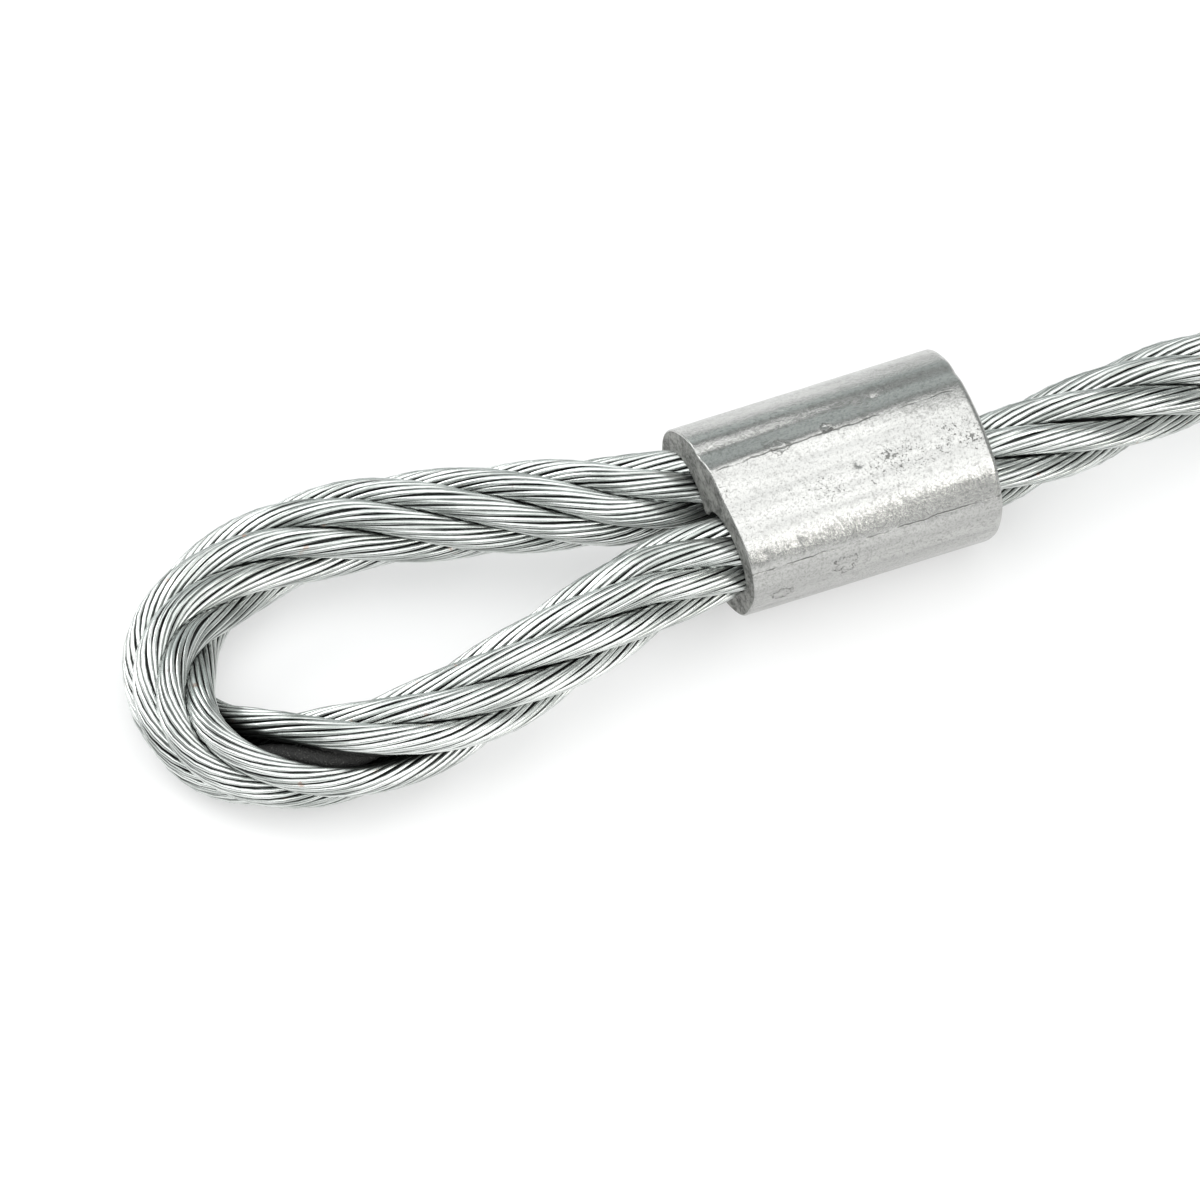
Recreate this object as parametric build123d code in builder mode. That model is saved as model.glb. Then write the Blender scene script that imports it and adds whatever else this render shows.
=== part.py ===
"""Soft eye of six-strand wire rope, closed by one pressed aluminium ferrule, with its standing rope.

The rope comes out of the ferrule, goes round the eye and back through the ferrule, and the rest of it is
put away in a flat coil. +X runs along the ferrule from the eye to the standing rope, +Z is up. The origin
is under the middle of the eye and ferrule, on the surface that they lie on. Millimetres.
"""

import os
from math import atan2, cos, pi, radians, sin, tan

from build123d import *

# Rope: six strands laid right-hand round a fibre core.
strand_count = 6
strand_diameter = 2.9
strand_ring_radius = 3.5  # from the rope's centre to a strand's centre
pressed_ring_radius = 3.1  # the same, where the ferrule squeezes the rope
core_diameter = 2.9
lay_length = 66.0  # one full turn of a strand round the rope
points_per_lay = 12
rope_diameter = 2 * strand_ring_radius + strand_diameter

# Ferrule: a slightly flattened round, with a shallow valley along its top and bottom.
ferrule_width = 23.2
ferrule_height = 20.4
ferrule_length = 30.0
ferrule_corner_radius = 8.5
ferrule_edge_radius = 0.9
valley_radius = 15.0
valley_depth = 0.3
mouth_x = 17.8  # the ferrule's face on the eye's side
ferrule_y = -2.2
mouth_slant_y = 4.0  # degrees that the mouth's face leans, seen from above
mouth_slant_z = 3.0  # the same, seen from the side
back_x = mouth_x + ferrule_length
rope_height = ferrule_height / 2  # of the rope's centre inside the ferrule
bore_radius = pressed_ring_radius + strand_diameter / 2 + 0.02
flare = 0.8  # the bores widen by this much at the mouth
flare_length = 6.0
press_start = mouth_x - 1.5
press_run = 10.0  # length over which the rope opens out to its free size

# Eye: the corners of its centre line, from the dead end, round the crown, to the standing rope.
dead_leg_y = 3.0
live_leg_y = -6.3
crown_x = -43.0
trim_allowance = 4.0  # extra rope at the ferrule's back, cut off flush with it
eye_corners = [
    (back_x + trim_allowance, dead_leg_y),
    (15.0, dead_leg_y),
    (3.1, 7.7),
    (-11.9, 12.9),
    (-18.8, 14.8),
    (-29.2, 15.1),
    (-38.7, 10.7),
    (-42.7, 4.8),
    (crown_x, -3.1),
    (-39.4, -9.3),
    (-30.3, -14.3),
    (-19.9, -14.7),
    (-12.9, -13.4),
    (2.5, -9.3),
    (12.0, live_leg_y),
    (back_x + trim_allowance, live_leg_y),
]

# Standing rope: from the ferrule's back down to the coil.
tie_wire = 1.2
coil_thickness = rope_diameter + 0.4
coil_height = coil_thickness / 2 + tie_wire  # the coil lies on its ties
standing_route = [
    (back_x - trim_allowance, -6.6, 10.3),
    (58.0, -5.3, 9.7),
    (72.0, -3.2, 8.0),
    (86.0, -2.1, coil_height),
    (100.0, -2.5, coil_height),
]

# Coil: a flat spiral of two turns and a bit, whose outer shape is one ring.
coil_outer_turn = 65.0  # radius of the outer turn's centre line
coil_inner_turn = 43.0
coil_lead_in = 40.0  # straight rope that runs into the coil
coil_turns = 2.15
tie_angles = (70.0, 190.0, 310.0)
tie_gap = 0.02  # between a tie and the coil

# Seizing: wire wrapped round the rope's bare end.
seizing_length = 14.0
seizing_diameter = rope_diameter + 1.8
seizing_radius = 42.3  # of its place in the coil


def centre_height(x):
    """Height of the eye's centre line: level in the ferrule, down to the surface at the crown."""
    down = rope_height - rope_diameter / 2
    return rope_height - down * max(0.0, min(1.0, (eye_corners[1][0] - x) / (eye_corners[1][0] - crown_x)))


def corner_radii(points):
    """Radius of the arc at each corner: 0.45 of the shorter run over the tangent of half the turn."""
    radii = []
    for before, corner, after in zip(points, points[1:], points[2:]):
        run_in = Vector(*corner) - Vector(*before)
        run_out = Vector(*after) - Vector(*corner)
        half_turn = radians(run_in.get_angle(run_out)) / 2
        radii.append(0.45 * min(run_in.length, run_out.length) / tan(half_turn))
    return radii


def rounded_line(points):
    """A line along a route, its runs joined by tangent arcs."""
    with BuildLine() as line:
        FilletPolyline(*points, radius=corner_radii(points))
    return line.wire()


def ring_radius(x):
    """Radius of the ring of strands: smaller in the ferrule than in the free rope."""
    free = max(0.0, min(1.0, (press_start - x) / press_run))
    return pressed_ring_radius + (strand_ring_radius - pressed_ring_radius) * free


def strand_points(line, strand):
    """Points of one strand's helix round the eye's centre line."""
    spans = round(line.length / (lay_length / points_per_lay))
    points = []
    for i in range(spans + 1):
        along = i / spans
        centre = line @ along
        forward = line % along
        sideways = Vector(0, 0, 1).cross(forward).normalized()
        upward = forward.cross(sideways)
        angle = 2 * pi * (line.length * along / lay_length + strand / strand_count)
        radius = ring_radius(centre.X)
        points.append(centre + sideways * (radius * cos(angle)) + upward * (radius * sin(angle)))
    return [(point.X, point.Y, point.Z) for point in points]


def round_rod(points, diameter, keep):
    """A round rod along a route, cut off flush with the ferrule's back on the side that isn't kept."""
    with BuildPart() as rod:
        with BuildLine() as route:
            FilletPolyline(*points, radius=corner_radii(points))
        with BuildSketch(Plane(origin=route.wire() @ 0, z_dir=route.wire() % 0)):
            Circle(diameter / 2)
        sweep()
        split(bisect_by=Plane.YZ.offset(back_x), keep=keep)
    return rod


os.makedirs("parts", exist_ok=True)
eye_route = [(x, y, centre_height(x)) for x, y in eye_corners]
eye_line = rounded_line(eye_route)

# Eye: six strands and the core between them.
for number in range(strand_count):
    strand = round_rod(strand_points(eye_line, number), strand_diameter, Keep.BOTTOM)
    strand.part.label = f"eye_strand_{number + 1}"
    export_step(strand.part, f"parts/eye_strand_{number + 1}.step")

eye_core = round_rod(eye_route, core_diameter, Keep.BOTTOM)
eye_core.part.label = "eye_core"
export_step(eye_core.part, "parts/eye_core.step")

# Ferrule: pressed round both legs, its mouth cut a little out of square.
mouth_plane = Plane(origin=(mouth_x, ferrule_y, rope_height)).rotated((0, 90 + mouth_slant_z, mouth_slant_y))
with BuildPart() as ferrule:
    with BuildSketch(Plane.YZ.offset(mouth_x - 3)):
        with Locations((ferrule_y, rope_height)):
            RectangleRounded(ferrule_width, ferrule_height, ferrule_corner_radius)
        valley_offset = ferrule_height / 2 + valley_radius - valley_depth
        with Locations((ferrule_y, rope_height + valley_offset), (ferrule_y, rope_height - valley_offset)):
            Circle(valley_radius, mode=Mode.SUBTRACT)
    extrude(amount=ferrule_length + 3)
    split(bisect_by=mouth_plane, keep=Keep.TOP)
    end_faces = [ferrule.faces().sort_by(Axis.X)[0], ferrule.faces().sort_by(Axis.X)[-1]]
    fillet([edge for face in end_faces for edge in face.edges()], ferrule_edge_radius)
    with BuildSketch(Plane.YZ.offset(mouth_x - 5)):
        with Locations((dead_leg_y, rope_height), (live_leg_y, rope_height)):
            Circle(bore_radius)
    extrude(amount=ferrule_length + 10, mode=Mode.SUBTRACT)
    for leg_y in (dead_leg_y, live_leg_y):
        with Locations(Location((mouth_x + flare_length / 3, leg_y, rope_height), (0, 90, 0))):
            Cone(bore_radius + flare, bore_radius, flare_length, mode=Mode.SUBTRACT)
ferrule.part.label = "ferrule"
export_step(ferrule.part, "parts/ferrule.step")

# Standing rope.
standing_rope = round_rod(standing_route, rope_diameter, Keep.TOP)
standing_rope.part.label = "standing_rope"
export_step(standing_rope.part, "parts/standing_rope.step")
tube_length = standing_rope.part.volume / (pi * rope_diameter**2 / 4)
coil_length = coil_lead_in + coil_turns * pi * (coil_outer_turn + coil_inner_turn)
print("eye centre line", round(eye_line.length, 1), "mm")
print("eye radii", [round(radius, 1) for radius in corner_radii(eye_route)])
print("standing rope radii", [round(radius) for radius in corner_radii(standing_route)])
print("standing rope: volume over section", round(tube_length, 1), "mm")
print("standing rope with its coil", round(tube_length + coil_length), "mm")

# Coil: the lead-in runs into a ring that the turns fill.
lead_start = Vector(*standing_route[-1])
lead_direction = (lead_start - Vector(*standing_route[-2])).normalized()
to_centre = Vector(lead_direction.Y, -lead_direction.X, 0)
entry = lead_start + lead_direction * coil_lead_in
coil_centre = entry + to_centre * coil_outer_turn
entry_angle = atan2(-to_centre.Y, -to_centre.X)
end_angle = entry_angle - 2 * pi * coil_turns
ring_middle = (coil_outer_turn + coil_inner_turn) / 2
ring_width = coil_outer_turn - coil_inner_turn + coil_thickness
seizing_centre = coil_centre + Vector(cos(end_angle), sin(end_angle), 0) * seizing_radius
seizing_direction = Vector(sin(end_angle), -cos(end_angle), 0)
seizing_start = Plane(origin=seizing_centre - seizing_direction * (seizing_length / 2), z_dir=seizing_direction)

with BuildPart() as rope_coil:
    with BuildSketch(Plane(origin=coil_centre, x_dir=(1, 0, 0), z_dir=(0, -1, 0))):
        with Locations((ring_middle, 0)):
            SlotOverall(ring_width, coil_thickness)
    revolve(axis=Axis(coil_centre, (0, 0, 1)))
    with BuildSketch(Plane(origin=lead_start, z_dir=lead_direction)):
        Circle(rope_diameter / 2)
    extrude(amount=coil_lead_in)
    with BuildSketch(seizing_start):
        Circle(seizing_diameter / 2)
    extrude(amount=seizing_length, mode=Mode.SUBTRACT)
rope_coil.part.label = "rope_coil"
export_step(rope_coil.part, "parts/rope_coil.step")

# Seizing: a close wrap of wire round the rope's end, and the end inside it.
with BuildPart() as seizing:
    with BuildSketch(seizing_start):
        Circle(seizing_diameter / 2)
    extrude(amount=seizing_length)
seizing.part.label = "seizing"
export_step(seizing.part, "parts/seizing.step")

# Ties: a loop of wire round the coil at each of three places.
for number, angle in enumerate(tie_angles, start=1):
    outward = Vector(cos(radians(angle)), sin(radians(angle)), 0)
    across = Vector(outward.Y, -outward.X, 0)
    with BuildPart() as tie:
        with BuildSketch(Plane(origin=coil_centre + outward * ring_middle, x_dir=outward, z_dir=across)):
            SlotOverall(ring_width + 2 * tie_wire, coil_thickness + 2 * tie_wire)
            SlotOverall(ring_width + 2 * tie_gap, coil_thickness + 2 * tie_gap, mode=Mode.SUBTRACT)
        extrude(amount=tie_wire / 2, both=True)
    tie.part.label = f"coil_tie_{number}"
    export_step(tie.part, f"parts/coil_tie_{number}.step")
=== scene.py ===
"""Looks of the soft eye: rope laid wire by wire, a pressed ferrule, and the standing rope in its coil."""

import math

import bpy
import numpy as np
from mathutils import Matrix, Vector


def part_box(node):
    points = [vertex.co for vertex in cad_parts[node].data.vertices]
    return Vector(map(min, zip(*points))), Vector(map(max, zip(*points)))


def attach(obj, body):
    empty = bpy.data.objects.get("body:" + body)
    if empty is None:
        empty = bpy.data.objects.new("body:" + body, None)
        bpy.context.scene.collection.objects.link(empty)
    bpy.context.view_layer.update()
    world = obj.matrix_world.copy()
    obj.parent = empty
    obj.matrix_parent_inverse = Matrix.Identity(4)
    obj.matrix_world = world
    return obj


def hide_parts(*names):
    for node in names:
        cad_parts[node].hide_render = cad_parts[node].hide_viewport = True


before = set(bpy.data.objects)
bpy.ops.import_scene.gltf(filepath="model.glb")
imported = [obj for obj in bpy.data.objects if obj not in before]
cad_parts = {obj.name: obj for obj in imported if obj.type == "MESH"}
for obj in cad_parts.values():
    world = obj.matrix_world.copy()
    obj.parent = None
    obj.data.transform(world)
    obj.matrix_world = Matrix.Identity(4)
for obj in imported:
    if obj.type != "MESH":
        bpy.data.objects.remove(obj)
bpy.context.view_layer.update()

# ---------------------------------------------------------------- driving dimensions, metres
STRANDS = 6
WIRES = 14  # in the outer layer of a strand
LAY = 0.066  # one turn of a strand round the rope
WIRE_LAY = 0.025  # one turn of a wire round its strand, the other way
STRAND_RING = 0.00335  # from the rope's centre to a strand's centre
EYE_RING = 0.00346  # the same in the eye, where the bend has loosened the lay
PRESSED_RING = 0.00300  # the same inside the ferrule
WIRE_RING = 0.00132  # from a strand's centre to a wire's centre
WIRE_RADIUS = 0.00030
INNER_WIRES = 7  # in the next layer of a strand, round one in the middle
INNER_RING = 0.00070
FILLER_RADIUS = WIRE_RING - 0.0001  # of the dark body under the outer wires
WIRE_SWAY = 0.12  # radians, how far a wire wanders round its strand
WIRE_LIFT = 0.00005  # how far it wanders in and out
CUT_POINTS = 4  # of a strand's line, along which its inner wires show at a cut end
CUT_PROUD = 0.00006  # how far they stand out of the cut
CORE_RADIUS = 0.0017
YARNS = 3
YARN_RING = 0.0008
YARN_LAY = 0.016
ROPE_DIAMETER = 0.0099
EYE_STEP = 0.0012  # between the points of the eye's centre line
STANDING_STEP = 0.0020
EYE_WIRE_SIDES = 8
STANDING_WIRE_SIDES = 6

# The ferrule's outline at its two ends, from +Y over the top: (degrees, radius in mm). Each corner at the
# mouth runs to the one in the same place in the back's list.
MOUTH_OUTLINE = [
    (0, 11.6), (20, 11.4), (40, 11.1), (58, 10.8), (70, 10.7), (80, 9.95),
    (95, 10.5), (118, 9.8), (140, 10.9), (158, 11.5), (178, 11.2), (203, 10.5),
    (222, 10.6), (248, 10.5), (270, 10.0), (292, 10.5), (318, 11.5), (342, 11.7),
]
BACK_OUTLINE = [
    (0, 11.6), (20, 11.4), (40, 11.2), (54, 10.9), (67, 10.8), (76, 10.3),
    (85, 10.5), (108, 10.5), (146, 11.6), (164, 11.6), (186, 11.2), (205, 10.8),
    (225, 10.8), (248, 10.5), (270, 10.0), (292, 10.5), (318, 11.5), (342, 11.7),
]
# Marks on the ferrule: distance from the mouth, degrees round, size and, for a pit, depth.
PITS = [
    (0.0154, 119.0, 0.00040, 0.00028),
    (0.0183, 80.0, 0.00045, 0.00016),
    (0.0192, 83.0, 0.00050, 0.00020),
    (0.0203, 78.0, 0.00040, 0.00014),
    (0.0071, 88.0, 0.00030, 0.00010),
    (0.0262, 121.0, 0.00045, 0.00016),
]
SCABS = [
    (0.0110, 175.0, 0.0012),
    (0.0032, 186.0, 0.0010),
    (0.0082, 93.0, 0.0009),
    (0.0139, 91.0, 0.0006),
]
SCAB_RIM = 0.00011  # height of a scab's rim
SCAB_RIM_WIDTH = 0.00015
SCAB_SINK = 0.00005  # how far the metal inside the rim lies lower
FOLDS = [(96.0, -5.0), (162.0, -2.0)]  # degrees round at the mouth, turn on the way to the back
DULL_BAND = 133.0  # degrees round at the mouth of the middle of the pitted band
DULL_BAND_TURN = 14.0  # how far it comes back towards the top on the way to the back
WAVES = 14
WAVE_HEIGHT = 0.000012
DENTS = 150
FERRULE_LOW, FERRULE_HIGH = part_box("ferrule")
FERRULE_LENGTH = 0.030
BACK_X = FERRULE_HIGH.x
MOUTH_X = BACK_X - FERRULE_LENGTH
FERRULE_Y = (FERRULE_HIGH.y + FERRULE_LOW.y) / 2
FERRULE_Z = (FERRULE_HIGH.z + FERRULE_LOW.z) / 2
FERRULE_SIDES = 360
FERRULE_RADIUS = 0.011  # about, for the width of marks
MOUTH_LEAN_Y = -math.tan(math.radians(4.0))  # the mouth is cut a little askew both ways
MOUTH_LEAN_Z = -math.tan(math.radians(3.0))
MOUTH_EDGE = 0.00018  # radii of the rounded edges
BACK_EDGE = 0.0007
BORE_EDGE = 0.0003
LEG_BORE_RADIUS = 0.0046
MIDDLE_BORE_RADIUS = 0.0014  # the hole between the two legs, from the ferrule's axis
DEAD_LEG_Y = 0.0030
LIVE_LEG_Y = -0.0063

# Corners of the eye's centre line, seen from above: dead end, crown, standing side.
EYE_CORNERS = [
    (0.0460, DEAD_LEG_Y),
    (0.0150, DEAD_LEG_Y),
    (0.0031, 0.0077),
    (-0.0119, 0.0129),
    (-0.0188, 0.0148),
    (-0.0292, 0.0151),
    (-0.0387, 0.0107),
    (-0.0427, 0.0048),
    (-0.0433, -0.0033),
    (-0.0400, -0.0098),
    (-0.0303, -0.0143),
    (-0.0199, -0.0147),
    (-0.0129, -0.0134),
    (0.0025, -0.0093),
    (0.0120, LIVE_LEG_Y),
    (0.0460, LIVE_LEG_Y),
]
CROWN_X = -0.0430
CROWN_Z = 0.0054
CORNER_X = 0.0150

# The standing rope, from inside the ferrule to where the coil's lead-in starts.
COIL_Z = 0.00635
STANDING_ROUTE = [
    (0.0438, -0.0064, 0.0102),
    (0.0510, -0.0052, 0.0103),
    (0.0620, -0.0039, 0.0101),
    (0.0740, -0.0017, 0.0089),
    (0.0870, -0.0010, 0.0069),
    (0.1000, -0.0025, COIL_Z),
]
COIL_HEADING = math.radians(-1.64)  # the way the rope runs where the coil's lead-in starts
COIL_LEAD_IN = 0.040
COIL_OUTER_TURN = 0.065
COIL_INNER_TURN = 0.043
COIL_TURNS = 2.15
COIL_POINTS_PER_TURN = 16
TIE_ANGLES = (70.0, 190.0, 310.0)
TIE_WIRE_RADIUS = 0.00055
TIE_GAP = 0.0002  # between the rope and the tie
TIE_STEP = 0.0011
TWIST_LENGTH = 0.011
TWIST_LAY = 0.0042
SEIZING_WIRE_RADIUS = 0.00045
SEIZING_LENGTH = 0.014
SEIZING_POINTS_PER_TURN = 28
BARE_END = 0.004  # of the rope beyond its seizing
UP = np.array([0.0, 0.0, 1.0])

# How far the first strand stands turned round the rope, in degrees, at distances along the eye.
EYE_TURN = [
    (0.028, 12.0),
    (0.050, 18.0),
    (0.088, 19.0),
    (0.099, 29.0),
    (0.115, 46.0),
    (0.150, 44.0),
    (0.168, 38.0),
]
STANDING_TURN = 2.0
EASE_REACH = 0.010  # how far to each side a station's value is eased
# Where the rope opens: distance along it, reach, and how far the strands move out.
EYE_OPENING = (0.113, 0.018, 0.00025)  # the bend springs them apart and bares the core
STANDING_OPENING = (0.014, 0.016, 0.00012)  # the rope is slack where it leaves the ferrule
# How far each strand is pushed aside there, in degrees.
EYE_CROWDING = (-4.0, -5.0, -9.0, 24.0, 20.0, 9.0)
STANDING_CROWDING = (-1.0, 2.0, 4.0, 5.0, -2.0, -3.0)
# How far each strand wanders elsewhere, in degrees.
EYE_SWAY = 1.5
STANDING_SWAY = 3.0
MOUTH_FLARE = 0.010  # the stretch over which the pressed strands spread before the mouth

CAMERA_AZIMUTH = -22.0
CAMERA_ELEVATION = 51.2
CAMERA_LENS = 250.0
CAMERA_SENSOR = 36.0
VIEW_WIDTH = 0.1304  # what the picture spans at the object
VIEW_CENTRE = Vector((0.00446, -0.00365, 0.0051))

rng = np.random.default_rng(7)


# ---------------------------------------------------------------- lines
def smooth_line(name, corners):
    """Points along the smooth curve that a list of corners controls."""
    data = bpy.data.curves.new(name, "CURVE")
    data.dimensions = "3D"
    data.resolution_u = 24
    spline = data.splines.new("NURBS")
    spline.points.add(len(corners) - 1)
    for point, corner in zip(spline.points, corners):
        point.co = (*corner, 1.0)
    spline.order_u = 3
    spline.use_endpoint_u = True
    holder = bpy.data.objects.new(name, data)
    bpy.context.scene.collection.objects.link(holder)
    bpy.context.view_layer.update()
    mesh = bpy.data.meshes.new_from_object(holder)
    points = np.array([v.co[:] for v in mesh.vertices])
    bpy.data.meshes.remove(mesh)
    bpy.data.objects.remove(holder)
    bpy.data.curves.remove(data)
    return points


def distances(line):
    """Distance along a line to each of its points."""
    steps = np.linalg.norm(np.diff(line, axis=0), axis=1)
    return np.concatenate([[0.0], np.cumsum(steps)])


def resampled(line, step):
    """The same line with its points a step apart."""
    along = distances(line)
    stations = np.linspace(0.0, along[-1], int(round(along[-1] / step)) + 1)
    return np.stack([np.interp(stations, along, line[:, axis]) for axis in range(3)], axis=1)


def unit(vectors):
    """The same directions at length 1."""
    return vectors / np.linalg.norm(vectors, axis=-1, keepdims=True)


def axes_along(line):
    """Forward, sideways and upward directions along a line that is nowhere upright."""
    forward = unit(np.gradient(line, axis=0))
    sideways = unit(np.cross([0.0, 0.0, 1.0], forward))
    return forward, sideways, np.cross(forward, sideways)


def fan(angle, first, second):
    """Directions at angles from first towards second, one for each point of a line."""
    return np.cos(angle)[:, None] * first + np.sin(angle)[:, None] * second


def rest_height(x):
    """Height of the eye's centre line: level in the ferrule, down to the table at the crown."""
    down = FERRULE_Z - CROWN_Z
    return FERRULE_Z - down * min(1.0, max(0.0, (CORNER_X - x) / (CORNER_X - CROWN_X)))


def wobble(along, size, wavelengths, seed):
    """A slow random waver along a line."""
    random = np.random.default_rng(seed)
    total = np.zeros_like(along)
    for wavelength in wavelengths:
        total += np.sin(2 * math.pi * (along / wavelength + random.random())) * random.uniform(0.5, 1.0)
    return size * total / len(wavelengths)


def swell(along, middle, reach):
    """1 at one place on a line, falling to 0 a reach or two away from it."""
    return np.exp(-(((along - middle) / reach) ** 2))


def eased(along, stations):
    """A value that goes smoothly through (distance, value) stations."""
    values = np.interp(along, [at for at, _ in stations], [value for _, value in stations])
    window = int(round(EASE_REACH / (along[1] - along[0])))
    padded = np.pad(values, window, mode="edge")
    return np.convolve(padded, np.full(2 * window + 1, 1 / (2 * window + 1)), mode="valid")


# ---------------------------------------------------------------- meshes
def mesh_object(name, vertices, faces, uvs=None, flat_from=None):
    """A smooth-shaded mesh; faces from flat_from on stay flat."""
    mesh = bpy.data.meshes.new(name)
    mesh.from_pydata(vertices.tolist(), [], faces)
    smooth = np.ones(len(mesh.polygons), bool)
    if flat_from is not None:
        smooth[flat_from:] = False
    mesh.polygons.foreach_set("use_smooth", smooth)
    if uvs is not None:
        layer = mesh.uv_layers.new(name="along")
        layer.data.foreach_set("uv", np.ascontiguousarray(uvs, np.float32).ravel())
    mesh.update()
    piece = bpy.data.objects.new(name, mesh)
    bpy.context.scene.collection.objects.link(piece)
    return piece


def corner_uvs(corners):
    """The (u, v) of each face's four corners, from one pair of arrays for each corner."""
    return np.stack([np.stack(corner, axis=-1) for corner in corners], axis=-2).reshape(-1, 2)


def tube_mesh(name, lines, radius, outward, sides, openness=None):
    """Round tubes along several lines, each with as many points. outward says where each ring starts.

    openness, one value for each point of each line, is kept on the mesh for the material to read.
    """
    count, length = lines.shape[:2]
    # the tube's section has the area of the circle it stands for
    radius = radius * math.sqrt(2 * math.pi / (sides * math.sin(2 * math.pi / sides)))
    forward = unit(np.gradient(lines, axis=1))
    first = unit(outward - (outward * forward).sum(-1, keepdims=True) * forward)
    second = np.cross(forward, first)
    angles = 2 * math.pi * np.arange(sides) / sides
    ring = np.cos(angles)[:, None] * first[:, :, None, :] + np.sin(angles)[:, None] * second[:, :, None, :]
    radius = np.broadcast_to(radius, (count, length))
    vertices = lines[:, :, None, :] + radius[:, :, None, None] * ring
    index = np.arange(count * length * sides).reshape(count, length, sides)
    after = np.roll(index, -1, axis=2)
    quads = np.stack([index[:, :-1], after[:, :-1], after[:, 1:], index[:, 1:]], axis=-1).reshape(-1, 4)
    caps = index[:, 0, ::-1].tolist() + index[:, -1].tolist()
    along = np.stack([distances(line) for line in lines])
    around = np.arange(count)[:, None, None] + np.arange(sides) / sides
    u = np.broadcast_to(along[:, :, None], (count, length, sides))
    v = np.broadcast_to(around, (count, length, sides))
    turn = 1.0 / sides
    corners = [
        (u[:, :-1], v[:, :-1]),
        (u[:, :-1], v[:, :-1] + turn),
        (u[:, 1:], v[:, 1:] + turn),
        (u[:, 1:], v[:, 1:]),
    ]
    cap_uvs = np.zeros((2 * count * sides, 2))
    uvs = np.concatenate([corner_uvs(corners), cap_uvs])
    piece = mesh_object(name, vertices.reshape(-1, 3), quads.tolist() + caps, uvs, flat_from=len(quads))
    if openness is not None:
        layer = piece.data.attributes.new("openness", "FLOAT", "POINT")
        layer.data.foreach_set("value", np.repeat(openness.ravel(), sides).astype(np.float32))
    return piece


# ---------------------------------------------------------------- rope
def strand_line(line, strand, ring, turn):
    """One strand's centre line, and the direction from the rope's centre to it."""
    _, sideways, upward = axes_along(line)
    angle = np.radians(turn) + 2 * math.pi * (distances(line) / LAY + strand / STRANDS)
    outward = fan(angle, sideways, upward)
    return line + ring[:, None] * outward, outward


def strand_wires(name, centre, outward, sides, seed):
    """The outer wires of one strand, laid left-handed round it."""
    along = distances(centre)
    forward = unit(np.gradient(centre, axis=0))
    outward = unit(outward - (outward * forward).sum(-1, keepdims=True) * forward)
    sideways = np.cross(forward, outward)
    lines, directions, openness = [], [], []
    for wire in range(WIRES):
        angle = 2 * math.pi * (wire / WIRES - along / WIRE_LAY)
        angle = angle + wobble(along, WIRE_SWAY, (0.011, 0.019, 0.033), seed * 100 + wire)
        ring = WIRE_RING + wobble(along, WIRE_LIFT, (0.009, 0.023), seed * 100 + wire + 50)
        direction = fan(angle, outward, sideways)
        lines.append(centre + ring[:, None] * direction)
        directions.append(direction)
        openness.append(np.cos(angle))
    return tube_mesh(name, np.array(lines), WIRE_RADIUS, np.array(directions), sides, np.array(openness))


def rope_body(name, centres, outwards):
    """A body that fills each strand under its outer wires; its dark material is painted shade between them.
    """
    return tube_mesh(name, np.array(centres), FILLER_RADIUS, np.array(outwards), 10)


def cut_wires(name, centres, outwards):
    """The inner wires of each strand, drawn only along its last few points, where the rope is cut."""
    lines, directions = [], []
    for centre, outward in zip(centres, outwards):
        stub, side = centre[-CUT_POINTS:], outward[-CUT_POINTS:]
        forward = unit(stub[-1] - stub[-2])
        stub = stub + CUT_PROUD * forward
        lines.append(stub)
        directions.append(side)
        for wire in range(INNER_WIRES):
            angle = 2 * math.pi * wire / INNER_WIRES
            direction = math.cos(angle) * side + math.sin(angle) * np.cross(forward, side)
            lines.append(stub + INNER_RING * direction)
            directions.append(direction)
    return tube_mesh(name, np.array(lines), WIRE_RADIUS, np.array(directions), 8)


def rope_core(name, line):
    """The fibre core: three twisted yarns in one lobed body."""
    along = distances(line)
    _, sideways, upward = axes_along(line)
    lines, directions = [], []
    for yarn in range(YARNS):
        angle = 2 * math.pi * (yarn / YARNS + along / YARN_LAY)
        direction = fan(angle, sideways, upward)
        lines.append(line + YARN_RING * direction)
        directions.append(direction)
    return tube_mesh(name, np.array(lines), CORE_RADIUS - YARN_RING, np.array(directions), 10)


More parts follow.
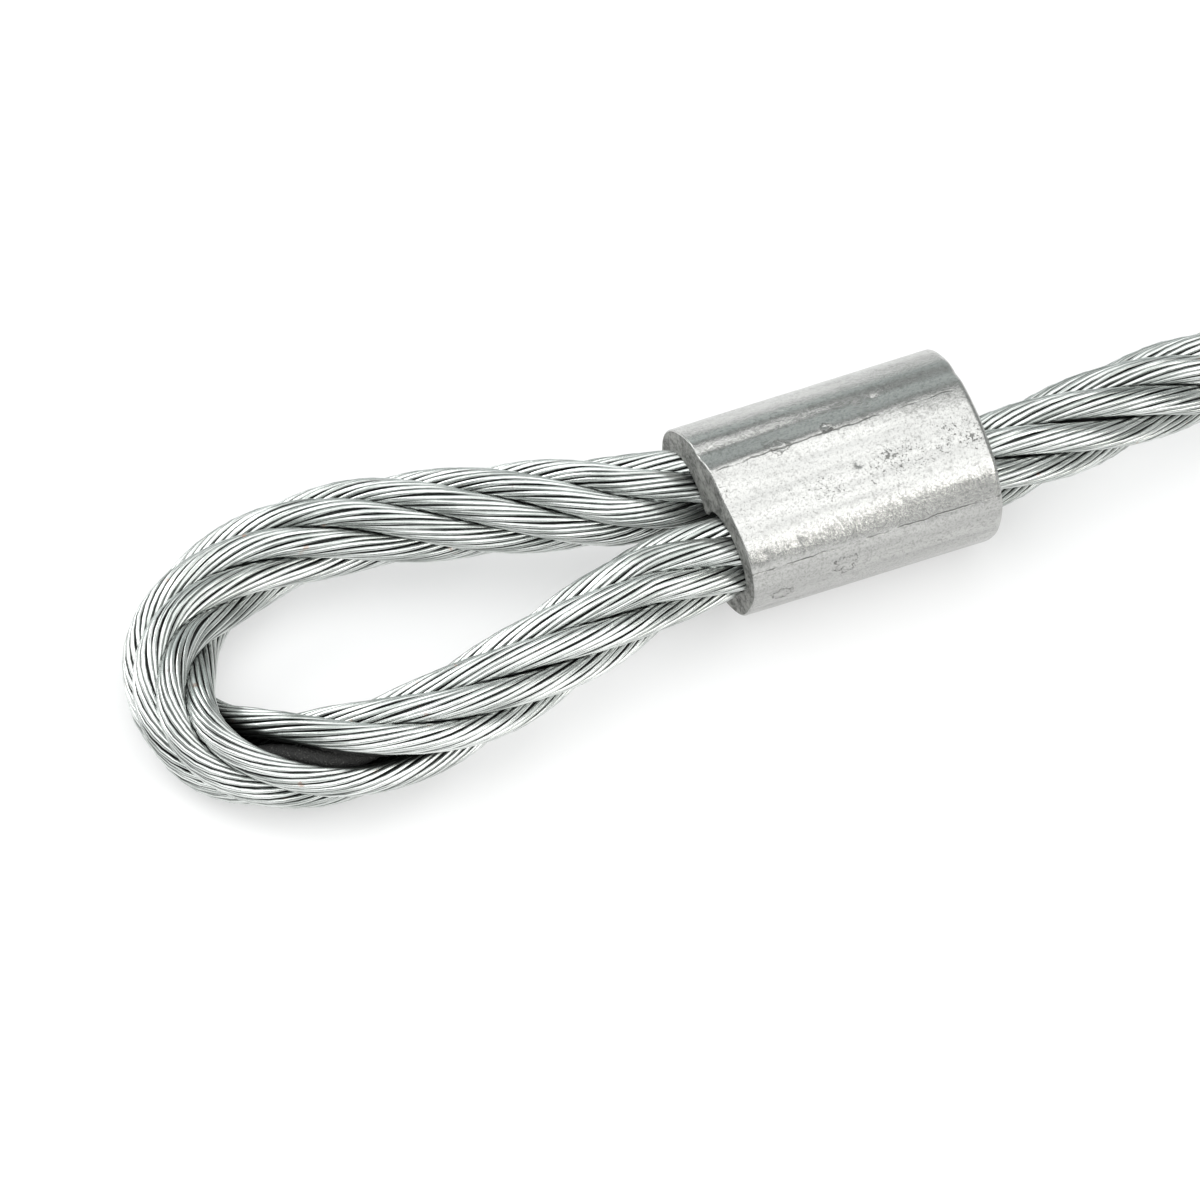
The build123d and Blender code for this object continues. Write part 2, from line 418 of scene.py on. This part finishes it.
# ---------------------------------------------------------------- materials
class Nodes:
    """Short names for building one material's nodes."""

    def __init__(self, name):
        self.material = bpy.data.materials.new(name)
        self.material.use_nodes = True
        self.tree = self.material.node_tree
        self.shader = self.tree.nodes["Principled BSDF"]

    def add(self, kind, inputs=None, **settings):
        node = self.tree.nodes.new(kind)
        for key, value in settings.items():
            setattr(node, key, value)
        for key, value in (inputs or {}).items():
            if isinstance(value, bpy.types.NodeSocket):
                self.tree.links.new(value, node.inputs[key])
            else:
                node.inputs[key].default_value = value
        return node

    def math(self, operation, first, second=0.0, clamp=False):
        node = self.add("ShaderNodeMath", {0: first, 1: second}, operation=operation, use_clamp=clamp)
        return node.outputs[0]

    def plus(self, first, second, clamp=False):
        return self.math("ADD", first, second, clamp)

    def minus(self, first, second):
        return self.math("SUBTRACT", first, second)

    def times(self, first, second):
        return self.math("MULTIPLY", first, second)

    def place(self):
        """Where a point lies on the object, in metres."""
        return self.add("ShaderNodeTexCoord").outputs["Object"]

    def uv(self):
        return self.add("ShaderNodeUVMap", uv_map="along").outputs[0]

    def along_and_around(self):
        """Distance along the piece in metres, and turns round it."""
        parts = self.add("ShaderNodeSeparateXYZ", {0: self.uv()}).outputs
        return parts[0], parts[1]

    def point(self, x, y):
        return self.add("ShaderNodeCombineXYZ", {0: x, 1: y}).outputs[0]

    def stretched(self, vector, scale):
        return self.add("ShaderNodeMapping", {"Vector": vector, "Scale": scale}).outputs[0]

    def noise(self, vector, scale, detail=4.0, roughness=0.55):
        inputs = {"Vector": vector, "Scale": scale, "Detail": detail, "Roughness": roughness}
        return self.add("ShaderNodeTexNoise", inputs).outputs[0]

    def spread(self, value, low, high):
        """value, stretched so that low becomes 0 and high becomes 1."""
        inputs = {"Value": value, "From Min": low, "From Max": high}
        return self.add("ShaderNodeMapRange", inputs, interpolation_type="SMOOTHSTEP").outputs[0]

    def mix(self, factor, first, second):
        node = self.add("ShaderNodeMix", data_type="RGBA")
        for socket, value in ((0, factor), (6, first), (7, second)):
            if isinstance(value, bpy.types.NodeSocket):
                self.tree.links.new(value, node.inputs[socket])
            else:
                node.inputs[socket].default_value = value
        return node.outputs[2]

    def bump(self, height, strength, distance):
        inputs = {"Height": height, "Strength": strength, "Distance": distance}
        node = self.add("ShaderNodeBump", inputs)
        self.tree.links.new(node.outputs[0], self.shader.inputs["Normal"])

    def set(self, **sockets):
        for key, value in sockets.items():
            socket = self.shader.inputs[key.replace("_", " ")]
            if isinstance(value, bpy.types.NodeSocket):
                self.tree.links.new(value, socket)
            else:
                socket.default_value = value


def grey(level, tint=1.0):
    """A grey, a little green and cold as zinc is, more so as tint grows."""
    return (level, level * (1 + 0.045 * tint), level * (1 + 0.012 * tint), 1.0)


def zinc_wire():
    """Bright zinc, duller in patches, drawn along the wire, with painted shade where a wire meets the next.
    """
    n = Nodes("galvanised wire")
    place = n.place()
    along, around = n.along_and_around()
    streaks = n.noise(n.point(n.times(along, 60.0), n.times(around, 14.0)), 1.0, 5.0, 0.6)
    wire = n.math("FLOOR", around)
    wire_tone = n.noise(n.point(n.times(along, 35.0), n.times(wire, 7.3)), 1.0, 3.0, 0.6)
    patches = n.noise(place, 160.0, 5.0, 0.6)
    # 1 on the side of the wire that faces out of its strand, 0 between the wires, where the colour is
    # painted shade
    facing = n.math("COSINE", n.times(n.math("FRACT", around), 2 * math.pi))
    clear_of_painted_shade = n.spread(n.plus(facing, n.times(streaks, 0.5)), 0.42, 1.18)
    tone = n.plus(n.times(wire_tone, 0.35), n.times(patches, 0.25))
    tone = n.plus(n.times(streaks, 0.4), tone)
    metal = n.mix(n.spread(tone, 0.39, 0.59), grey(0.34, 1.5), grey(0.86, 0.6))
    # 1 where the wire runs on the outside of the rope, less where it dives between two strands; there the
    # wire is painted darker as shade in the groove
    openness = n.add("ShaderNodeAttribute", attribute_name="openness").outputs["Fac"]
    metal = n.mix(n.spread(openness, -0.60, -0.20), grey(0.08, 2.0), metal)
    # painted shade: near black between the wires, while the outward side keeps its metal
    colour = n.mix(clear_of_painted_shade, grey(0.022, 2.0), metal)
    rust = n.spread(n.noise(place, 420.0, 3.0, 0.5), 0.69, 0.77)
    colour = n.mix(n.times(rust, 0.55), colour, (0.35, 0.16, 0.09, 1.0))
    n.set(Base_Color=colour, Metallic=0.92, Roughness=n.plus(0.13, n.times(streaks, 0.24)))
    n.bump(n.plus(streaks, n.times(patches, 0.5)), 0.35, 0.00005)
    return n.material


def strand_shadow():
    """Painted shade: the dark fill of a strand, seen only as darkness between its outer wires."""
    n = Nodes("strand inside painted shade")
    shade_mottle = n.noise(n.place(), 500.0)
    n.set(Base_Color=n.mix(shade_mottle, grey(0.02), grey(0.09)), Metallic=0.6, Roughness=0.6)
    n.bump(shade_mottle, 0.4, 0.0001)
    return n.material


def greased_fibre():
    """Dark fibres drawn along their yarn, with light specks of loose ends and dust."""
    n = Nodes("fibre core")
    place = n.place()
    fibres = n.noise(n.stretched(n.uv(), (180.0, 14.0, 1.0)), 1.0, 6.0, 0.7)
    patches = n.noise(place, 260.0)
    specks = n.spread(n.noise(place, 3600.0, 4.0, 0.8), 0.50, 0.62)
    colour = n.mix(fibres, (0.010, 0.010, 0.010, 1.0), (0.055, 0.056, 0.054, 1.0))
    colour = n.mix(n.times(specks, 0.6), colour, (0.22, 0.22, 0.21, 1.0))
    n.set(Base_Color=colour, Roughness=n.plus(0.55, n.times(patches, 0.3)))
    n.bump(n.plus(fibres, specks), 0.9, 0.0002)
    return n.material


def pitting(n, place, along, around, mottle, patches):
    """1 in a pit. Pits gather in patches, and in one dull band over the front shoulder."""
    speckle = n.noise(place, 3400.0, 4.0, 0.75)
    run = n.math("DIVIDE", along, FERRULE_LENGTH)
    middle = n.minus(DULL_BAND / 360.0, n.times(run, DULL_BAND_TURN / 360.0))
    away = n.math("ABSOLUTE", n.minus(around, middle))
    band = n.minus(1.0, n.spread(away, 0.012, 0.042))
    band = n.times(band, n.spread(run, -0.1, 0.9))  # stronger towards the back
    gathered = n.plus(n.times(patches, 0.5), n.times(band, 0.13))
    gathered = n.plus(gathered, n.times(mottle, 0.3))
    return n.spread(n.plus(speckle, gathered), 1.10, 1.14)


def fold_lines(n, place, along, around):
    """Near 1 on the thin folds along the ferrule and on the raised rims of the scabs, which the material
    paints dark as shade.
    """
    run = n.math("DIVIDE", along, FERRULE_LENGTH)
    waver = n.minus(n.noise(place, 420.0, 6.0, 0.65), 0.5)
    folds = 0.0
    for start, climb in FOLDS:
        fold = n.plus(start / 360.0, n.times(run, climb / 360.0))
        fold = n.plus(fold, n.times(waver, 0.014))
        beside = n.math("ABSOLUTE", n.minus(around, fold))
        folds = n.math("MAXIMUM", folds, n.minus(0.8, n.spread(beside, 0.0005, 0.0020)))
    # the folds are broken where this noise takes them away
    folds = n.times(folds, n.spread(n.noise(place, 300.0, 2.0, 0.5), 0.42, 0.54))
    ragged = n.minus(n.noise(place, 900.0, 5.0, 0.7), 0.5)
    for at_x, at_angle, size in SCABS:
        step_x = n.minus(along, at_x)
        step_a = n.times(n.minus(around, at_angle / 360.0), 2 * math.pi * FERRULE_RADIUS)
        reach = n.math("SQRT", n.plus(n.math("POWER", step_x, 2.0), n.math("POWER", step_a, 2.0)))
        rim = n.times(n.plus(1.0, n.times(ragged, 4.5)), size)
        beside = n.math("ABSOLUTE", n.minus(reach, rim))
        folds = n.math("MAXIMUM", folds, n.minus(0.9, n.spread(beside, 0.00002, 0.00011)))
    return folds


def pressed_aluminium():
    """Pressed metal: fine grain, drawn streaks, pits, folds and scabs."""
    n = Nodes("pressed aluminium")
    place = n.place()
    along, around = n.along_and_around()
    drawn = n.noise(n.stretched(place, (60.0, 700.0, 700.0)), 1.0, 5.0, 0.6)
    grain = n.noise(place, 3200.0, 6.0, 0.7)
    dots = n.spread(n.noise(place, 6500.0, 3.0, 0.8), 0.60, 0.64)
    mottle = n.noise(place, 900.0, 6.0, 0.7)
    patches = n.noise(place, 190.0, 5.0, 0.6)
    pits = pitting(n, place, along, around, mottle, patches)
    folds = fold_lines(n, place, along, around)
    colour = n.mix(n.spread(drawn, 0.3, 0.7), (0.44, 0.44, 0.43, 1.0), (0.54, 0.54, 0.525, 1.0))
    for mask, share, tint in (
        (n.spread(grain, 0.50, 0.62), 0.5, (0.25, 0.25, 0.24, 1.0)),
        (n.spread(mottle, 0.52, 0.68), 0.45, (0.26, 0.26, 0.25, 1.0)),
        (dots, 0.8, (0.10, 0.10, 0.095, 1.0)),
        (pits, 0.7, (0.07, 0.07, 0.065, 1.0)),
        # the dark lines on the folds and the scab rims are painted shade
        (folds, 0.9, (0.05, 0.05, 0.045, 1.0)),
    ):
        colour = n.mix(n.times(mask, share), colour, tint)
    rough = n.plus(0.07, n.plus(n.times(patches, 0.16), n.times(grain, 0.10)))
    n.set(Base_Color=colour, Metallic=0.92, Roughness=n.plus(rough, n.times(pits, 0.3), clamp=True))
    height = n.plus(n.times(grain, 0.8), n.times(mottle, 1.1))
    sunk = n.plus(n.times(pits, 0.6), n.times(folds, 2.5))
    n.bump(n.minus(height, sunk), 0.6, 0.00007)
    return n.material


def pressed_face():
    """The ferrule's two ends: dull, granular, darker than its sides."""
    n = Nodes("pressed face")
    place = n.place()
    grain = n.noise(place, 2400.0, 6.0, 0.7)
    patches = n.noise(place, 500.0, 4.0, 0.6)
    tone = n.plus(n.times(grain, 0.6), n.times(patches, 0.4))
    colour = n.mix(n.spread(tone, 0.40, 0.60), (0.10, 0.10, 0.095, 1.0), (0.42, 0.42, 0.40, 1.0))
    n.set(Base_Color=colour, Metallic=0.6, Roughness=n.plus(0.42, n.times(grain, 0.25)))
    n.bump(tone, 0.9, 0.00018)
    return n.material


def annealed_wire():
    """Soft tie wire, dark and dull in patches."""
    n = Nodes("annealed wire")
    patches = n.noise(n.place(), 320.0, 5.0)
    colour = n.mix(patches, grey(0.14), grey(0.44))
    n.set(Base_Color=colour, Metallic=0.85, Roughness=n.plus(0.3, n.times(patches, 0.35)))
    n.bump(patches, 0.4, 0.00008)
    return n.material


# ---------------------------------------------------------------- ferrule
def outline(angle, stations):
    """Radius of a closed outline through (angle in degrees, radius in mm) stations, its corners eased."""
    places, radii = [at for at, _ in stations], [radius for _, radius in stations]
    sharp = np.interp(np.degrees(angle), places, radii, period=360.0)
    reach = len(angle) // 80
    padded = np.concatenate([sharp[-reach:], sharp, sharp[:reach]])
    return np.convolve(padded, np.hanning(2 * reach + 3)[1:-1] / (reach + 1), mode="valid") / 1000


def bore_radius(angle):
    """Radius of the hole that holds both legs, at an angle about the ferrule's axis."""
    hole = np.full_like(angle, MIDDLE_BORE_RADIUS)
    for leg_y in (DEAD_LEG_Y, LIVE_LEG_Y):
        centre = leg_y - FERRULE_Y
        inside = LEG_BORE_RADIUS**2 - (centre * np.sin(angle)) ** 2
        reach = centre * np.cos(angle) + np.sqrt(np.maximum(inside, 0.0))
        hole = np.where(inside > 0, np.maximum(hole, reach), hole)
    return hole


def round_surface(angle, at, radius):
    """Distance round the ferrule's surface from one angle to others."""
    return ((angle - at + math.pi) % (2 * math.pi) - math.pi) * radius


def ferrule_marks(x, angle, radius):
    """How far the surface stands out of its smooth shape: waves, dents and raised scabs."""
    out = np.zeros_like(x)
    for _ in range(WAVES):
        k_x, k_a = rng.uniform(-260.0, 260.0), rng.integers(1, 14)
        out += WAVE_HEIGHT * np.sin(k_x * x + k_a * angle + rng.uniform(0, 6.28))
    for at_x, at_angle, size, depth in PITS:
        away = round_surface(angle, math.radians(at_angle), radius)
        out -= depth * np.exp(-((x - at_x) ** 2 + away**2) / size**2)
    for _ in range(DENTS):
        at_x, at_angle = rng.uniform(0.0, FERRULE_LENGTH), rng.uniform(0.0, 2 * math.pi)
        size, depth = rng.uniform(0.00018, 0.0005), rng.uniform(0.00001, 0.00006)
        away = round_surface(angle, at_angle, radius)
        out -= depth * np.exp(-((x - at_x) ** 2 + away**2) / size**2)
    for at_x, at_angle, size in SCABS:
        away = round_surface(angle, math.radians(at_angle), radius)
        distance = np.hypot(x - at_x, away)
        bearing = np.arctan2(away, x - at_x)
        rim = size * (1 + 0.16 * np.sin(3 * bearing + at_angle) + 0.10 * np.sin(7 * bearing))
        out += SCAB_RIM * np.exp(-(((distance - rim) / SCAB_RIM_WIDTH) ** 2)) - SCAB_SINK * (distance < rim)
    return out


def ferrule_mesh(name):
    """The ferrule's skin in one closed sheet: outside, back face, bore, mouth face."""
    around, length = FERRULE_SIDES, FERRULE_LENGTH
    angle = 2 * math.pi * np.arange(around) / around
    hole = bore_radius(angle)
    lip = hole + BORE_EDGE  # where the bore's rounded edge meets a face
    quarter = np.radians(np.linspace(0, 90, 6))
    mouth, back = np.array(MOUTH_OUTLINE), np.array(BACK_OUTLINE)
    stations = np.linspace(MOUTH_EDGE, length - BACK_EDGE, 112)
    places = np.repeat(stations[:, None], around, axis=1)
    smooth = np.stack([outline(angle, mouth + (back - mouth) * x / length) for x in stations])
    marked = smooth + ferrule_marks(places, np.broadcast_to(angle, places.shape), smooth)
    mouth_rim, back_rim = marked[0], marked[-1]
    rings = list(zip(places, marked))  # each ring: distance from the mouth, radius

    def add(x, radius):
        rings.append((np.zeros(around) + x, radius))

    for a in quarter[1:]:
        add(length - BACK_EDGE * (1 - math.sin(a)), back_rim - BACK_EDGE * (1 - math.cos(a)))
    back_face = len(rings)
    face_out = rings[-1][1]
    for share in np.linspace(0, 1, 14)[1:-1]:
        rough = 0.00005 * np.sin(31 * angle + 40 * share) * math.sin(math.pi * share)
        add(length + rough, face_out + (lip - face_out) * share)
    for a in quarter:
        add(length - BORE_EDGE * (1 - math.cos(a)), hole + BORE_EDGE * (1 - math.sin(a)))
    back_face_end = len(rings)
    for x in np.linspace(length - 0.001, 0.001, 12):
        add(x, hole)
    for a in quarter[::-1]:
        add(BORE_EDGE * (1 - math.cos(a)), hole + BORE_EDGE * (1 - math.sin(a)))
    mouth_face = len(rings) - len(quarter)
    face_out = mouth_rim - MOUTH_EDGE
    for share in np.linspace(1, 0, 14)[1:-1]:
        rough = 0.00006 * np.sin(23 * angle + 37 * share) * math.sin(math.pi * share)
        add(rough, face_out + (lip - face_out) * share)
    mouth_face_end = len(rings)
    for a in quarter[::-1][:-1]:
        add(MOUTH_EDGE * (1 - math.sin(a)), mouth_rim - MOUTH_EDGE * (1 - math.cos(a)))

    x = np.array([ring[0] for ring in rings])
    radius = np.array([ring[1] for ring in rings])
    y, z = radius * np.cos(angle), radius * np.sin(angle)
    slant = np.clip(1 - x / length, 0, 1) * (MOUTH_LEAN_Y * y + MOUTH_LEAN_Z * z)
    vertices = np.stack([MOUTH_X + x + slant, FERRULE_Y + y, FERRULE_Z + z], axis=-1)
    index = np.arange(len(rings) * around).reshape(len(rings), around)
    onward, turned = np.roll(index, -1, axis=0), np.roll(index, -1, axis=1)
    both = np.roll(onward, -1, axis=1)
    # each face runs index, turned, both, onward, so that it looks outward
    quads = np.stack([turned, both, onward, index], axis=-1).reshape(-1, 4)
    turn = np.broadcast_to(angle / (2 * math.pi), x.shape)
    next_x, next_turn = np.roll(x, -1, axis=0), turn + 1 / around
    uvs = corner_uvs([(x, next_turn), (next_x, next_turn), (next_x, turn), (x, turn)])
    piece = mesh_object(name, vertices.reshape(-1, 3), quads.tolist(), uvs)
    ends = np.zeros(len(rings), int)
    ends[back_face:back_face_end] = 1
    ends[mouth_face:mouth_face_end] = 1
    piece.data.polygons.foreach_set("material_index", np.repeat(ends, around))
    return piece


# ---------------------------------------------------------------- coil, ties and seizing
def coil_route():
    """The standing rope's whole route, its put-away turns worked out."""
    lead_start = np.array(STANDING_ROUTE[-1])
    heading = np.array([math.cos(COIL_HEADING), math.sin(COIL_HEADING), 0.0])
    to_centre = np.array([heading[1], -heading[0], 0.0])
    entry = lead_start + heading * COIL_LEAD_IN
    centre = entry + to_centre * COIL_OUTER_TURN
    start = math.atan2(-to_centre[1], -to_centre[0])
    corners = STANDING_ROUTE + [tuple(lead_start + heading * COIL_LEAD_IN * share) for share in (0.36, 0.7)]
    count = int(round(COIL_TURNS * COIL_POINTS_PER_TURN))
    outset = 1 / math.cos(math.pi / COIL_POINTS_PER_TURN)  # the curve runs inside its corners
    for i in range(count + 1):
        share = (i + 0.5) / (count + 1)
        angle = start - 2 * math.pi * COIL_TURNS * share
        radius = (COIL_OUTER_TURN + (COIL_INNER_TURN - COIL_OUTER_TURN) * share) * outset
        corners.append((centre[0] + radius * math.cos(angle), centre[1] + radius * math.sin(angle), COIL_Z))
    return corners, centre


def turns_at(line, centre, angle):
    """Distances from the coil's centre to the middle of the innermost and outermost turn at an angle."""
    offsets = line[:, :2] - centre[:2]
    away = (np.degrees(np.arctan2(offsets[:, 1], offsets[:, 0])) - angle + 180.0) % 360.0 - 180.0
    reach = np.linalg.norm(offsets, axis=1)[np.abs(away) < 2.0]
    reach = reach[reach < COIL_OUTER_TURN + ROPE_DIAMETER]
    return reach.min(), reach.max()


def tie_axes(angle):
    """Outward from the coil's centre at an angle in degrees, and level across that."""
    outward = np.array([math.cos(math.radians(angle)), math.sin(math.radians(angle)), 0.0])
    return outward, np.array([outward[1], -outward[0], 0.0])


def tie(name, line, centre, angle):
    """Two turns of soft wire side by side round the turns of the coil."""
    outward, across = tie_axes(angle)
    inner, outer = turns_at(line, centre, angle)
    bend = ROPE_DIAMETER / 2 + TIE_GAP + TIE_WIRE_RADIUS
    points = []
    for middle, start in ((outer, -90), (inner, 90)):
        for degrees in np.linspace(start, start + 180, 13):
            c, s = math.cos(math.radians(degrees)), math.sin(math.radians(degrees))
            points.append(outward * (middle + bend * c) + UP * bend * s)
    points.append(points[0])
    loops = []
    for side in (-1, 1):
        loop = centre + np.array(points) + across * side * TIE_WIRE_RADIUS * 1.02
        loops.append(resampled(loop, TIE_STEP))
    loops = np.array(loops)
    return tube_mesh(name, loops, TIE_WIRE_RADIUS, np.broadcast_to(across, loops.shape), 10)


def tie_twist(name, line, centre, angle):
    """The two ends of a tie, twisted together and laid down on top of the coil."""
    outward, across = tie_axes(angle)
    inner, outer = turns_at(line, centre, angle)
    base = centre + outward * (inner + outer) / 2
    base = base + UP * (ROPE_DIAMETER / 2 + TIE_GAP + 2 * TIE_WIRE_RADIUS)
    stem = []
    for run in np.linspace(0, TWIST_LENGTH, 40):
        stem.append(base + across * run + outward * 0.0006 * math.sin(run * 300))
    stem = np.array(stem)
    _, sideways, upward = axes_along(stem)
    ends = []
    for end in (0, 1):
        turn = math.pi * end + 2 * math.pi * distances(stem) / TWIST_LAY
        ends.append(stem + TIE_WIRE_RADIUS * fan(turn, sideways, upward))
    ends = np.array(ends)
    return tube_mesh(name, ends, TIE_WIRE_RADIUS, np.broadcast_to(upward, ends.shape), 10)


def seizing_wrap(name, line, length, bare):
    """A close helix of wire round the rope's last stretch."""
    along = distances(line)
    turns = length / (2 * SEIZING_WIRE_RADIUS)
    stations = np.linspace(along[-1] - bare - length, along[-1] - bare, int(turns * SEIZING_POINTS_PER_TURN))
    points = np.stack([np.interp(stations, along, line[:, axis]) for axis in range(3)], axis=1)
    _, sideways, upward = axes_along(points)
    angle = 2 * math.pi * turns * np.linspace(0, 1, len(stations))
    outward = fan(angle, sideways, upward)
    wrap = points + (ROPE_DIAMETER / 2 + SEIZING_WIRE_RADIUS) * outward
    return tube_mesh(name, wrap[None], SEIZING_WIRE_RADIUS, outward[None], 8)


# ---------------------------------------------------------------- build
def finish_piece(piece, material):
    """Give a piece its material and body."""
    piece.data.materials.append(material)
    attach(piece, "root")
    return piece


def build_camera():
    """A long lens, aimed at the middle of the view from the given direction."""
    a, e = math.radians(CAMERA_AZIMUTH), math.radians(CAMERA_ELEVATION)
    back = Vector((math.sin(a) * math.cos(e), -math.cos(a) * math.cos(e), math.sin(e)))
    data = bpy.data.cameras.new("camera")
    data.lens = CAMERA_LENS
    data.sensor_width = CAMERA_SENSOR
    data.clip_end = 20.0
    camera = bpy.data.objects.new("camera", data)
    camera.location = VIEW_CENTRE + back * (VIEW_WIDTH * CAMERA_LENS / CAMERA_SENSOR)
    camera.rotation_euler = back.to_track_quat("Z", "Y").to_euler()
    bpy.context.scene.collection.objects.link(camera)
    bpy.context.scene.camera = camera


def build_lights():
    """A dim even world and four soft boxes: name, place, size, power and colour."""
    world = bpy.data.worlds.new("studio")
    world.use_nodes = True
    background = world.node_tree.nodes["Background"]
    background.inputs[0].default_value = (0.35, 0.368, 0.365, 1.0)
    background.inputs[1].default_value = 1.0
    bpy.context.scene.world = world
    for name, place, size, power, colour in (
        ("overhead", (0.0, -0.35, 1.0), (1.8, 1.96), 18.5, (1.0, 1.0, 1.0)),
        ("left", (-0.80, 1.10, 1.0), (1.2, 0.9), 15.0, (1.0, 1.0, 1.0)),
        ("right", (0.95, -1.20, 0.55), (0.8, 0.6), 7.0, (1.0, 0.98, 0.94)),
        ("back", (0.35, 1.50, 0.60), (2.0, 1.0), 2.1, (0.86, 1.0, 0.98)),
    ):
        data = bpy.data.lights.new(name, "AREA")
        data.shape = "RECTANGLE"
        data.size, data.size_y = size
        data.energy = power
        data.color = colour
        light = bpy.data.objects.new(name, data)
        light.location = place
        light.rotation_euler = Vector(place).to_track_quat("Z", "Y").to_euler()
        bpy.context.scene.collection.objects.link(light)


def build_floor():
    """A pale plain table with a faint glow, so that it stays white under the soft shadows."""
    half = 2.5
    corners = np.array([[-half, -half, 0], [half, -half, 0], [half, half, 0], [-half, half, 0]], float)
    floor = mesh_object("floor", corners, [[0, 1, 2, 3]])
    n = Nodes("pale floor")
    colour = n.mix(n.noise(n.place(), 3.0), (0.49, 0.49, 0.49, 1.0), (0.51, 0.51, 0.51, 1.0))
    n.set(Base_Color=colour, Roughness=0.8)
    n.set(Emission_Color=(1.0, 1.0, 1.0, 1.0), Emission_Strength=0.43)
    floor.data.materials.append(n.material)


build_camera()
bpy.context.scene.view_settings.view_transform = "Standard"

wire_metal = zinc_wire()
# the dark fill of the strands is painted shade
inside = strand_shadow()
fibre = greased_fibre()
tie_metal = annealed_wire()

# Standing rope and its coil.
route, coil_centre = coil_route()
standing = resampled(smooth_line("standing line", route), STANDING_STEP)
standing_along = distances(standing)
middle, reach, opening = STANDING_OPENING
opened = swell(standing_along, middle, reach)
ring = STRAND_RING + opening * opened
centres, outwards, rope_wires = [], [], []
for number, crowding in enumerate(STANDING_CROWDING):
    turn = STANDING_TURN + crowding * opened
    turn = turn + (1 - opened) * wobble(standing_along, STANDING_SWAY, (0.05, 0.13), 300 + number)
    centre, outward = strand_line(standing, number, ring, turn)
    centres.append(centre)
    outwards.append(outward)
    wires = strand_wires(f"standing_wires_{number + 1}", centre, outward, STANDING_WIRE_SIDES, 20 + number)
    rope_wires.append(finish_piece(wires, wire_metal))
rope = finish_piece(rope_body("standing_strand_shade_filler", centres, outwards), inside)
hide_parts("standing_rope", "rope_coil")
standing_core = finish_piece(rope_core("standing_core", standing), fibre)
rope_cut = finish_piece(cut_wires("standing_cut_wires", centres, outwards), wire_metal)
seizing = seizing_wrap("seizing_wrap", standing, SEIZING_LENGTH, BARE_END)
seizing = finish_piece(seizing, tie_metal)
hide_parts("seizing")
on_rope = rope_wires + [standing_core, rope_cut, seizing]
for number, angle in enumerate(TIE_ANGLES, start=1):
    loops = tie(f"tie_loops_{number}", standing, coil_centre, angle)
    twist = tie_twist(f"tie_twist_{number}", standing, coil_centre, angle)
    on_rope += [finish_piece(wire, tie_metal) for wire in (loops, twist)]
    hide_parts(f"coil_tie_{number}")

# Eye.
eye_line = resampled(smooth_line("eye line", [(x, y, rest_height(x)) for x, y in EYE_CORNERS]), EYE_STEP)
eye_along = distances(eye_line)
outside_mouth = np.clip((MOUTH_X - eye_line[:, 0]) / MOUTH_FLARE, 0, 1)
middle, reach, opening = EYE_OPENING
opened = swell(eye_along, middle, reach)
ring = PRESSED_RING + (EYE_RING - PRESSED_RING) * outside_mouth + opening * opened
centres, outwards = [], []
for number, crowding in enumerate(EYE_CROWDING):
    turn = eased(eye_along, EYE_TURN) + crowding * opened
    turn = turn + (1 - opened) * wobble(eye_along, EYE_SWAY, (0.04, 0.09), 400 + number)
    centre, outward = strand_line(eye_line, number, ring, turn)
    centres.append(centre)
    outwards.append(outward)
    wires = strand_wires(f"eye_wires_{number + 1}", centre, outward, EYE_WIRE_SIDES, number)
    finish_piece(wires, wire_metal)
    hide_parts(f"eye_strand_{number + 1}")
finish_piece(rope_body("eye_strand_shade_filler", centres, outwards), inside)
dead_end = cut_wires("eye_cut_wires", [line[::-1] for line in centres], [line[::-1] for line in outwards])
finish_piece(dead_end, wire_metal)
core = finish_piece(rope_core("core_yarns", eye_line), fibre)
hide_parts("eye_core")

# Ferrule.
ferrule = finish_piece(ferrule_mesh("pressed_ferrule"), pressed_aluminium())
ferrule.data.materials.append(pressed_face())
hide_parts("ferrule")

build_floor()
build_lights()
